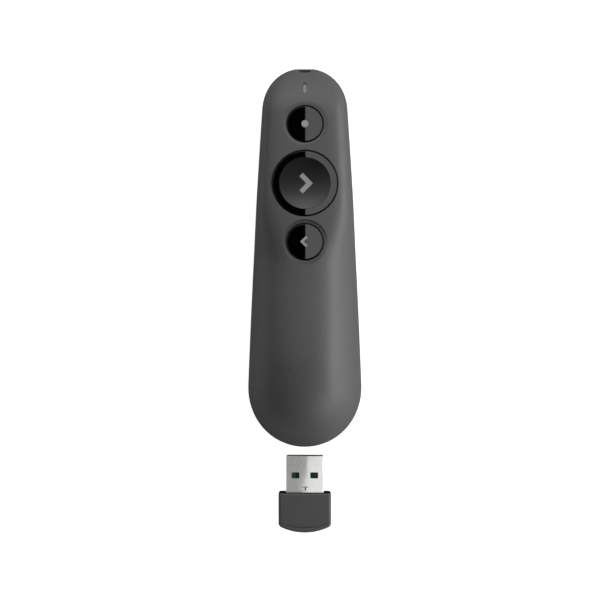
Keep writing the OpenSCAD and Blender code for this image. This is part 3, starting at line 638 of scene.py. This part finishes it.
# The print: an arrow's arms reach from its tip by armX and armY
mark = {
    "thickness": 0.025,
    "dotRadius": 1.12,
    "nextArrow": {"tipX": 2.47, "armX": 3.13, "armY": 3.25, "width": 1.48, "direction": 1},
    "backArrow": {"tipX": -1.52, "armX": 1.79, "armY": 1.77, "width": 0.82, "direction": -1},
}


def printedMark(name, body, outline, heightAt, material):
    # A flat outline, cut fine, laid on its button and given the thickness of the print
    bm = bmesh.new()
    bm.faces.new([bm.verts.new((x, y, 0)) for x, y in outline])
    bmesh.ops.triangulate(bm, faces=bm.faces)
    bmesh.ops.subdivide_edges(bm, edges=bm.edges, cuts=5, use_grid_fill=True)
    bmesh.ops.extrude_face_region(bm, geom=bm.faces[:], use_keep_orig=True)
    half = len(bm.verts) // 2
    bm.verts.ensure_lookup_table()
    for i, v in enumerate(bm.verts):
        v.co.z = heightAt(v.co.x, v.co.y) - form["hair"] + (mark["thickness"] if i >= half else -0.05)
    tidy(bm)
    return placed(meshObject(name, bm), body, [material])


def onDeck(x, y):
    return deckZ(y)


def inDish(x, y):
    return deckZ(y) + dishLevel(hypot(x, y - nextY))


def dot(centreY):
    r = mark["dotRadius"]
    return [(r * cos(2 * pi * i / 48), centreY + r * sin(2 * pi * i / 48)) for i in range(48)]


def chevron(centreY, tipX, armX, armY, width, direction):
    # An arrow of two square-ended arms
    slant = width * sqrt(0.5)
    half = [
        (tipX, centreY),
        (tipX - direction * armX, centreY + armY),
        (tipX - direction * (armX + slant), centreY + armY - slant),
        (tipX - direction * 2 * slant, centreY),
    ]
    mirrored = [(x, 2 * centreY - y) for x, y in (half[2], half[1])]
    return half + mirrored


def lightGuide(material):
    bm = bmesh.new()
    slotShape(bm, lightSlot["gap"], lightSlot["bare"], lowOf("light_pipe").z)
    guide = meshObject("lightGuide", bm)
    # Its top is a little sunk at the nose end and comes up towards the buttons
    cutter = bmesh.new()
    bmesh.ops.create_grid(cutter, x_segments=4, y_segments=40, size=0.5)
    for v in cutter.verts:
        y = lightY + v.co.y * 5
        sink = mix(lightSlot["sinkTail"], lightSlot["sinkNose"], ease(v.co.y + 0.5))
        v.co = v.co.x * 4, y, topZ(0, y) - sink
    made = bmesh.ops.extrude_face_region(cutter, geom=cutter.faces[:], use_keep_orig=True)
    for g in made["geom"]:
        if isinstance(g, bmesh.types.BMVert):
            g.co.z = aboveAll + 5
    tidy(cutter)
    combine(guide, cutter)
    return placed(guide, "handset", [material], ["light_pipe"])


def nosePiece(name, node, profile, sink, material):
    # Turned round the laser's axis: its front follows the nose's skin and its back is flat
    back = lowOf(node).y
    bm = bmesh.new()
    spun(bm, profile, steps=96, axis="Y")
    for v in bm.verts:
        isBack = v.co.y < -5  # profiles draw the back at -9
        v.co.z += laserZ
        v.co.y = back if isBack else v.co.y + noseSkinY(v) - sink
    tidy(bm)
    return placed(meshObject(name, bm), "handset", [material], [node])


def apertureRing(material):
    outer = (highOf("laser_bezel").x - lowOf("laser_bezel").x) / 2
    inner, r = laserTrim["ringInner"], laserTrim["ringRound"]
    profile = [
        (inner, -9), (inner, -0.55), (inner + 0.05, -0.4), (inner + 0.3, -0.12), (outer - r, 0),
        (outer - 0.3 * r, -0.3 * r), (outer, -r), (outer, -9), (inner, -9),
    ]
    sink = laserTrim["ringSink"]
    return nosePiece("apertureRing", "laser_bezel", profile, sink, material)


def laserWindow(material):
    radius = highOf("laser_window").x - 0.01
    profile = [(0, -9), (radius, -9), (radius, -0.06), (radius - 0.06, 0), (radius / 2, 0), (0, 0)]
    sink = laserTrim["windowSink"]
    return nosePiece("laserWindow", "laser_window", profile, sink, material)


receiver = {
    "corner": 0.85,
    "seam": 1.6,
    "seamRound": 0.15,
    "seamGap": 0.08,
    "crown": 0.12,
    "plugRound": 0.25,
    "sheet": 0.3,
    "windowX": 3.0,
    "windowWidth": 2.5,
    "windowLength": 1.95,
    "windowRound": 0.32,
    "windowFromMouth": 6.2,
    "foldFromMouth": 9.95,
    "foldDepth": 0.2,
    "lipRound": 0.07,
}
mouthY = highOf("usb_plug_shell").y
shoulderY = highOf("receiver_housing").y
receiverLength = shoulderY - lowOf("receiver_end_cap").y
pulledOut = shoulderY - (tailY + receiverLength)  # how far the receiver lies from its dock


def receiverBlank(keepCap):
    # The whole housing, cut at the seam of its end cap, then bent to the tail's own surface
    low, high = lowOf("receiver_housing"), highOf("receiver_housing")
    length = receiverLength
    bm = bmesh.new()
    corner = receiver["corner"]
    roundedBox(bm, (low.x, 0, low.z), (high.x, length, high.z), corner, cuts=44, cornerShare=0.4)
    seam = receiver["seam"] + receiver["seamGap"] * (-1 if keepCap else 1)
    bmesh.ops.bisect_plane(
        bm, geom=bm.verts[:] + bm.edges[:] + bm.faces[:], dist=1e-5, plane_co=(0, seam, 0),
        plane_no=(0, 1, 0), clear_outer=keepCap, clear_inner=not keepCap,
    )
    rim = [e for e in bm.edges if e.is_boundary]
    bmesh.ops.edgeloop_fill(bm, edges=rim)
    rim = [e for e in bm.edges if all(abs(v.co.y - seam) < 1e-4 for v in e.verts)]
    roundEdges(bm, rim, receiver["seamRound"], 2)
    halfX = (high.x - low.x) / 2
    middleZ = (low.z + high.z) / 2
    for v in bm.verts:
        end = skinY(v.co.x, v.co.z, tailY + 14, tailY - 1)
        share = v.co.y / length
        crown = receiver["crown"] * (v.co.x / halfX) ** 2
        v.co.y = mix(end, tailY + length, share) + pulledOut
        v.co.z -= crown * (v.co.z - middleZ) / (high.z - middleZ)
    return bm


def receiverHousing(material, dark):
    bm = receiverBlank(False)
    bmesh.ops.recalc_face_normals(bm, faces=bm.faces)
    # Painted shade: the shoulders beside the plug face away from the light and take a black without sheen
    for f in bm.faces:
        if f.normal.y > 0.75 and f.calc_center_median().y > shoulderY - 1:
            f.material_index = 1  # the shoulders beside the plug
    housing = meshObject("receiverHousing", bm)
    low, high = lowOf("usb_plug_shell"), highOf("usb_plug_shell")
    combine(housing, boxPart((low.x, shoulderY - 2, low.z), (high.x, shoulderY + 1, high.z)))
    return placed(housing, "receiver", [material, dark], ["receiver_housing"])


def receiverCap(material):
    cap = meshObject("receiverCap", receiverBlank(True))
    return placed(cap, "receiver", [material], ["receiver_end_cap"])


def plugShell(material, shadeSteel):
    low, high = lowOf("usb_plug_shell"), highOf("usb_plug_shell")
    bm = boxPart(low, high)
    roundEdges(bm, edgesAlong(bm, 1), receiver["plugRound"], 6)
    bmesh.ops.delete(bm, geom=[f for f in bm.faces if abs(f.normal.y) > 0.9], context="FACES")
    bmesh.ops.recalc_face_normals(bm, faces=bm.faces)
    bmesh.ops.solidify(bm, geom=bm.faces[:], thickness=receiver["sheet"])
    bmesh.ops.recalc_face_normals(bm, faces=bm.faces)
    lips = [
        e for e in bm.edges
        if all(v.co.y > high.y - 0.01 for v in e.verts) and len(e.link_faces) == 2
        and abs(e.link_faces[0].normal.y) + abs(e.link_faces[1].normal.y) < 1.5
    ]
    roundEdges(bm, lips, receiver["lipRound"], 2)
    plug = meshObject("plugShell", bm)
    cutter = bmesh.new()
    halfX, halfY = receiver["windowWidth"] / 2, receiver["windowLength"] / 2
    windowY = mouthY - receiver["windowFromMouth"]
    for x in (-receiver["windowX"], receiver["windowX"]):
        part = boxPart((x - halfX, windowY - halfY, high.z - 1), (x + halfX, windowY + halfY, high.z + 1))
        roundEdges(part, edgesAlong(part, 2), receiver["windowRound"], 5)
        addMesh(cutter, part)
    # The fold that locks the sheet's seam: a bar and a stem
    foldY, foldZ = mouthY - receiver["foldFromMouth"], high.z - receiver["foldDepth"]
    addMesh(cutter, boxPart((-0.9, foldY - 0.12, foldZ), (1.0, foldY + 0.14, high.z + 1)))
    addMesh(cutter, boxPart((0.0, foldY - 1.2, foldZ), (0.42, foldY - 0.14, high.z + 1)))
    combine(plug, cutter)
    # Painted shade: the fold's recess and the sheet's inside take a dark steel that stands in for their
    # shadow
    for face in plug.data.polygons:
        x, y, z = face.center
        inShadedFold = abs(x) < 1.1 and foldY - 1.3 < y < foldY + 0.2 and foldZ - 0.02 < z < high.z - 0.01
        isShadedInside = abs(x) < high.x - 0.2 and low.z + 0.2 < z < high.z - 0.2
        if inShadedFold or isShadedInside:
            face.material_index = 1
    return placed(plug, "receiver", [material, shadeSteel], ["usb_plug_shell"])


def level(value):
    return (value, value, value, 1)


def nodesOf(name):
    material = bpy.data.materials.new(name)
    material.use_nodes = True
    tree = material.node_tree
    return material, tree, tree.nodes["Principled BSDF"]


def addNode(tree, kind, inputs=None, **settings):
    # An input that is another node's output is linked, any other is set
    node = tree.nodes.new("ShaderNode" + kind)
    for key, value in settings.items():
        setattr(node, key, value)
    for socket, value in (inputs or {}).items():
        if isinstance(value, bpy.types.NodeSocket):
            tree.links.new(value, node.inputs[socket])
        else:
            node.inputs[socket].default_value = value
    return node


def objectNoise(tree, scale, detail=3, stretch=None):
    where = addNode(tree, "TexCoord").outputs["Object"]
    if stretch:
        where = addNode(tree, "Mapping", {"Vector": where, "Scale": stretch}).outputs["Vector"]
    settings = {"Vector": where, "Scale": scale, "Detail": detail, "Roughness": 0.6}
    return addNode(tree, "TexNoise", settings).outputs["Fac"]


def ramp(tree, factor, low, high, start=0.3, stop=0.7):
    scale = addNode(tree, "ValToRGB", {"Fac": factor})
    first, last = scale.color_ramp.elements
    first.position, first.color = start, low
    last.position, last.color = stop, high
    return scale.outputs["Color"]


def bands(tree, factor, stops):
    # Colours with sharp borders, each from its own position on
    scale = addNode(tree, "ValToRGB", {"Fac": factor})
    scale.color_ramp.interpolation = "CONSTANT"
    first, second = scale.color_ramp.elements
    first.color = stops[0][1]
    second.position, second.color = stops[1]
    for position, colour in stops[2:]:
        scale.color_ramp.elements.new(position).color = colour
    return scale.outputs["Color"]


def tint(tree, factor, colour, amount, start=0.3, stop=0.7):
    # Lets the base colour run a little darker and lighter
    low = [c * (1 - amount) for c in colour[:3]] + [1]
    high = [min(1, c * (1 + amount)) for c in colour[:3]] + [1]
    shader = tree.nodes["Principled BSDF"]
    tree.links.new(ramp(tree, factor, low, high, start, stop), shader.inputs["Base Color"])


def roughen(tree, factor, low, high, start=0.3, stop=0.7):
    shader = tree.nodes["Principled BSDF"]
    tree.links.new(ramp(tree, factor, level(low), level(high), start, stop), shader.inputs["Roughness"])


def bump(tree, height, distance):
    raised = addNode(tree, "Bump", {"Height": height, "Distance": distance}).outputs["Normal"]
    tree.links.new(raised, tree.nodes["Principled BSDF"].inputs["Normal"])
    return raised


def mouldedPlastic(name, colour, roughness, grainScale, grainDepth, variation, specular=0.5):
    material, tree, shader = nodesOf(name)
    grain = objectNoise(tree, grainScale)
    tint(tree, grain, colour, variation)
    roughen(tree, objectNoise(tree, 60), roughness - 0.03, roughness + 0.03)
    shader.inputs["Specular IOR Level"].default_value = specular
    bump(tree, grain, grainDepth)
    return material


def softTouch(name, colour, facing, grazing, specular):
    # A rubbery coat: it loses its sheen where it turns away
    material = mouldedPlastic(name, colour, facing, 2600, 0.000016, 0.12, specular)
    tree = material.node_tree
    turned = addNode(tree, "LayerWeight").outputs["Facing"]
    rough = addNode(tree, "MapRange", {
        "Value": turned, "From Min": 0.1, "From Max": 0.8, "To Min": facing, "To Max": grazing,
    })
    tree.links.new(rough.outputs["Result"], tree.nodes["Principled BSDF"].inputs["Roughness"])
    return material


def glossPlastic(name, colour):
    material, tree, _ = nodesOf(name)
    haze = objectNoise(tree, 90)
    tint(tree, haze, colour, 0.2)
    roughen(tree, haze, 0.01, 0.018, 0.35, 0.75)
    return material


def metal(name, colour, roughness, brush=None):
    material, tree, shader = nodesOf(name)
    shader.inputs["Metallic"].default_value = 1.0
    streak = objectNoise(tree, 900, stretch=brush)
    tint(tree, streak, colour, 0.08)
    roughen(tree, streak, roughness - 0.04, roughness + 0.05)
    bump(tree, streak, 0.000004)
    return material


def plugSteel():
    # Dull sheet under a polished plating, which shows soft waves from the press
    material, tree, shader = nodesOf("plugSteel")
    grain = objectNoise(tree, 1500)
    tint(tree, grain, (0.8, 0.8, 0.775), 0.05)
    roughen(tree, grain, 0.46, 0.54)
    shader.inputs["Metallic"].default_value = 1.0
    shader.inputs["Coat Weight"].default_value = 1.0
    shader.inputs["Coat IOR"].default_value = 2.6
    shader.inputs["Coat Roughness"].default_value = 0.04
    waves = bump(tree, objectNoise(tree, 170, detail=1), 0.000014)
    tree.links.new(waves, shader.inputs["Coat Normal"])
    return material


def glass(name, colour, weight=1.0):
    material, tree, shader = nodesOf(name)
    tint(tree, objectNoise(tree, 300), colour, 0.04, 0.0, 1.0)
    shader.inputs["Roughness"].default_value = 0.02
    shader.inputs["IOR"].default_value = 1.5
    shader.inputs["Transmission Weight"].default_value = weight
    return material


def circuitBoard(name, halfWidth=None):
    # Green lacquer over copper; with a half width, the board's long edges past it are painted dark grey,
    # painted shade for the plug's inside beside the board
    material, tree, shader = nodesOf(name)
    where = addNode(tree, "TexCoord").outputs["Object"]
    cells = addNode(
        tree, "TexVoronoi", {"Vector": where, "Scale": 700}, distance="CHEBYCHEV", feature="F2"
    ).outputs["Distance"]
    colour = ramp(tree, cells, (0.0, 0.03, 0.012, 1), (0.0, 0.022, 0.0075, 1), 0.42, 0.5)
    if halfWidth:
        across = addNode(tree, "SeparateXYZ", {"Vector": where}).outputs["X"]
        fromMiddle = addNode(tree, "Math", {0: across}, operation="ABSOLUTE").outputs["Value"]
        inPaintedShade = addNode(tree, "Math", {0: fromMiddle, 1: halfWidth}, operation="GREATER_THAN")
        # Painted shade: the dark grey past the half width
        dark = (0.035, 0.033, 0.034, 1)
        # A colour mix has its factor at input 0, its colours at 6 and 7 and its result at output 2
        mixed = addNode(tree, "Mix", data_type="RGBA")
        tree.links.new(inPaintedShade.outputs["Value"], mixed.inputs[0])
        tree.links.new(colour, mixed.inputs[6])
        mixed.inputs[7].default_value = dark
        colour = mixed.outputs[2]
    tree.links.new(colour, shader.inputs["Base Color"])
    shader.inputs["Roughness"].default_value = 0.35
    bump(tree, cells, 0.00002)
    return material


def cellWrap():
    # A printed sleeve: a dark length, a pale band and bare steel at both ends
    material, tree, shader = nodesOf("cellWrap")
    low, high = lowOf("aaa_battery").y * mm, highOf("aaa_battery").y * mm
    where = addNode(tree, "TexCoord").outputs["Object"]
    along = addNode(tree, "SeparateXYZ", {"Vector": where}).outputs["Y"]
    span = {"Value": along, "From Min": low, "From Max": high}
    share = addNode(tree, "MapRange", span).outputs["Result"]
    steel, dark, pale = (0.5, 0.5, 0.48, 1), (0.02, 0.03, 0.045, 1), (0.55, 0.42, 0.2, 1)
    printed = bands(tree, share, [(0.0, steel), (0.02, dark), (0.7, pale), (0.955, dark), (0.968, steel)])
    bare = bands(tree, share, [(0.0, level(1)), (0.02, level(0)), (0.968, level(1))])
    tree.links.new(printed, shader.inputs["Base Color"])
    tree.links.new(bare, shader.inputs["Metallic"])
    shader.inputs["Roughness"].default_value = 0.3
    bump(tree, objectNoise(tree, 700), 0.000004)
    return material


softGrey = softTouch("softTouchGrey", level(0.05), 0.45, 1.0, 0.4)
receiverGrey = softTouch("receiverGrey", level(0.045), 0.5, 1.0, 0.4)
rearBlack = mouldedPlastic("texturedBlack", level(0.018), 0.5, 1700, 0.00003, 0.15)
glossBlack = glossPlastic("glossBlack", level(0.0005))
dishBlack = mouldedPlastic("satinDish", level(0.003), 0.3, 2600, 0.000006, 0.2)
markGrey = mouldedPlastic("printedGrey", level(0.2), 0.7, 3000, 0.000003, 0.03, specular=0.1)
# Painted shade: a black without sheen for faces that lie in shade, the receiver's shoulders and the light
# slot's walls
paintedShadeBlack = mouldedPlastic("paintedShadeBlack", level(0.008), 0.9, 2600, 0.00001, 0.1, specular=0.0)
trimBlack = mouldedPlastic("trimBlack", level(0.01), 0.6, 2400, 0.00001, 0.1, specular=0.25)
innerBlack = mouldedPlastic("innerBlack", (0.012, 0.012, 0.013), 0.5, 1500, 0.00002, 0.15)
chipBlack = mouldedPlastic("chipBlack", (0.01, 0.01, 0.011), 0.55, 4000, 0.00001, 0.2)
cream = mouldedPlastic("creamNylon", (0.62, 0.55, 0.38), 0.45, 1500, 0.00001, 0.05)
frosted = mouldedPlastic("frostedGuide", level(0.12), 0.4, 2600, 0.00001, 0.06)
ledWhite = mouldedPlastic("ledWhite", (0.7, 0.7, 0.66), 0.4, 2000, 0.000005, 0.04)
steel = metal("platedSteel", (0.6, 0.6, 0.58), 0.3, brush=(1, 8, 1))
springSteel = metal("springSteel", (0.55, 0.55, 0.54), 0.25)
screwSteel = metal("screwSteel", level(0.5), 0.38)
brass = metal("turnedBrass", (0.75, 0.52, 0.2), 0.3, brush=(1, 6, 1))
# Painted shade: a dark steel for the plug's fold recess and its inside
paintedShadeSteel = metal("paintedShadeSteel", (0.12, 0.12, 0.115), 0.6)
gold = metal("goldFlash", (0.85, 0.6, 0.22), 0.25)
plugMetal = plugSteel()
boardGreen = circuitBoard("circuitBoard")
# Its long edges are painted dark grey as shade
plugBoardShadedEdges = circuitBoard("plugBoardShadedEdges", halfWidth=0.0032)
lensGlass = glass("lensGlass", (0.9, 0.97, 1.0))
windowGlass = glass("darkRedWindow", (0.03, 0.001, 0.0015), weight=0.3)
wrap = cellWrap()
print("materials made")

topShell(softGrey, paintedShadeBlack)
print("top shell made")
rearShell(rearBlack)
print("rear shell made")
batteryDoor(rearBlack)
print("battery door made")

buttonCap("laserButton", "laser_button", False, [glossBlack, innerBlack])
buttonCap("backButton", "back_button", False, [glossBlack, innerBlack])
buttonCap("nextButton", "next_button", True, [glossBlack, innerBlack, dishBlack])
printedMark("laserDot", "laser_button", dot(laserY), onDeck, markGrey)
printedMark("nextArrow", "next_button", chevron(nextY, **mark["nextArrow"]), inDish, markGrey)
printedMark("backArrow", "back_button", chevron(backY, **mark["backArrow"]), onDeck, markGrey)
print("buttons made")

lightGuide(frosted)
apertureRing(trimBlack)
laserWindow(windowGlass)
receiverHousing(receiverGrey, paintedShadeBlack)
receiverCap(receiverGrey)
plugShell(plugMetal, paintedShadeSteel)
print("trim and receiver made")

finishes = {
    "battery_tray": innerBlack,
    "receiver_dock": innerBlack,
    "main_board": boardGreen,
    "radio_chip": chipBlack,
    "crystal": steel,
    "laser_switch": chipBlack,
    "next_switch": chipBlack,
    "back_switch": chipBlack,
    "laser_plunger": cream,
    "next_plunger": cream,
    "back_plunger": cream,
    "status_led": ledWhite,
    "laser_barrel": brass,
    "laser_lens": lensGlass,
    "laser_diode": brass,
    "aaa_battery": wrap,
    "battery_spring": springSteel,
    "negative_contact": steel,
    "positive_contact": steel,
    "housing_screws": screwSteel,
    "board_screws": screwSteel,
    "plug_insert": innerBlack,
    "receiver_board": plugBoardShadedEdges,
    "receiver_contacts": gold,
    "receiver_chip": chipBlack,
}
for node, material in finishes.items():
    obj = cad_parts[node]
    obj.data.materials.clear()
    obj.data.materials.append(material)
print("solids dressed:", len(finishes))

studio = {
    "floorSize": 10.0,
    "floorColour": 0.4,
    "floorGlow": 0.88,  # what the floor's own look adds to its lit colour
    "horizonGlow": 0.35,
    "lightHeight": 0.7,
    "cameraHeight": 449.4,
    "cameraX": -1.55,
    "cameraY": -13.55,
    "lens": 82.5,
}

# Softboxes that face straight down: left and right edge, back and front edge, radiance
overhead = {
    "rightBox": (0.834, 1.317, -1.2, 0.42, 7.2),
    "rightStrip": (0.834, 1.317, -0.2, 0.42, 5.1),
    "backRight": (0.214, 1.317, -1.2, -0.5, 3.5),
    "frontBox": (-1.317, 1.317, 0.3, 1.5, 2.1),
    "frontStrip": (-0.098, 0.098, 0.3, 1.5, 1.0),
    "leftStrip": (-0.547, -0.098, 0.1, 0.3, 0.5),
    "glossCard": (0.003, 0.034, 0.07, 0.23, 2.0),  # seen in the flat button caps alone
}

# Other lamps: middle, size, radiance, what they face and how many degrees they turn
lamps = {
    "plugCard": ((0.0152, -0.155, 0.7), (0.024, 0.08), 2.1, None, -8),  # seen in the plug alone
    "rightWall": ((1.2, 0, 0.3), (0.6, 1.5), 3.4, (0, 0, 0.3), 0),
    "frontWall": ((-0.4, 1.6, 0.25), (0.8, 0.5), 4.1, (0, 0, 0.05), 0),
}


def stageFloor():
    bm = bmesh.new()
    bmesh.ops.create_grid(bm, x_segments=8, y_segments=8, size=studio["floorSize"] / 2)
    floor = meshObject("floor", bm)
    floor.location.z = -0.0002
    material, tree, shader = nodesOf("paleFloor")
    path = addNode(tree, "LightPath")
    seen = path.outputs["Is Camera Ray"]
    for kind in ("Is Glossy Ray", "Is Transmission Ray"):
        either = addNode(tree, "Math", {0: seen, 1: path.outputs[kind]}, operation="MAXIMUM")
        seen = either.outputs["Value"]
    glow = addNode(tree, "Math", {0: seen, 1: studio["floorGlow"]}, operation="MULTIPLY")
    tree.links.new(glow.outputs["Value"], shader.inputs["Emission Strength"])
    shader.inputs["Emission Color"].default_value = level(1)
    shader.inputs["Base Color"].default_value = level(studio["floorColour"])
    shader.inputs["Roughness"].default_value = 0.9
    shader.inputs["Specular IOR Level"].default_value = 0.1
    floor.data.materials.append(material)


def areaLight(name, centre, size, radiance, aim=None, turn=0):
    # Faces straight down, or towards its aim with its width level
    light = bpy.data.lights.new(name, "AREA")
    light.shape = "RECTANGLE"
    light.size, light.size_y = size
    light.energy = radiance * pi * size[0] * size[1]
    obj = bpy.data.objects.new(name, light)
    bpy.context.scene.collection.objects.link(obj)
    away = (Vector(centre) - Vector(aim)).normalized() if aim else Vector((0, 0, 1))
    along = (Vector((0, 1, 0)) - away * away.y).normalized()
    facing = Matrix((along.cross(away), along, away)).transposed()
    turned = facing @ Matrix.Rotation(radians(turn), 3, "Z")
    obj.matrix_world = Matrix.Translation(centre) @ turned.to_4x4()
    obj.visible_camera = False


def studioWorld():
    world = bpy.data.worlds.new("studio")
    bpy.context.scene.world = world
    world.use_nodes = True
    tree = world.node_tree
    back = tree.nodes["Background"]
    direction = addNode(tree, "TexCoord").outputs["Generated"]
    upwards = addNode(tree, "SeparateXYZ", {"Vector": direction}).outputs["Z"]
    tree.links.new(ramp(tree, upwards, level(1), level(0), 0.05, 0.25), back.inputs["Color"])
    back.inputs["Strength"].default_value = studio["horizonGlow"]


stageFloor()
studioWorld()
for step, (name, (left, right, back, front, radiance)) in enumerate(overhead.items()):
    # Each lies a little above the last, so that none are in one plane
    centre = ((left + right) / 2, (back + front) / 2, studio["lightHeight"] + 0.002 * step)
    areaLight(name, centre, (right - left, front - back), radiance)
for name, lamp in lamps.items():
    areaLight(name, *lamp)

camera = bpy.data.objects.new("camera", bpy.data.cameras.new("camera"))
bpy.context.scene.collection.objects.link(camera)
camera.location = (studio["cameraX"] * mm, studio["cameraY"] * mm, studio["cameraHeight"] * mm)
camera.data.lens = studio["lens"]
camera.data.sensor_width = 36
camera.data.clip_start = 0.01
bpy.context.scene.camera = camera
bpy.context.scene.view_settings.view_transform = "Standard"
print("stage and lights made")
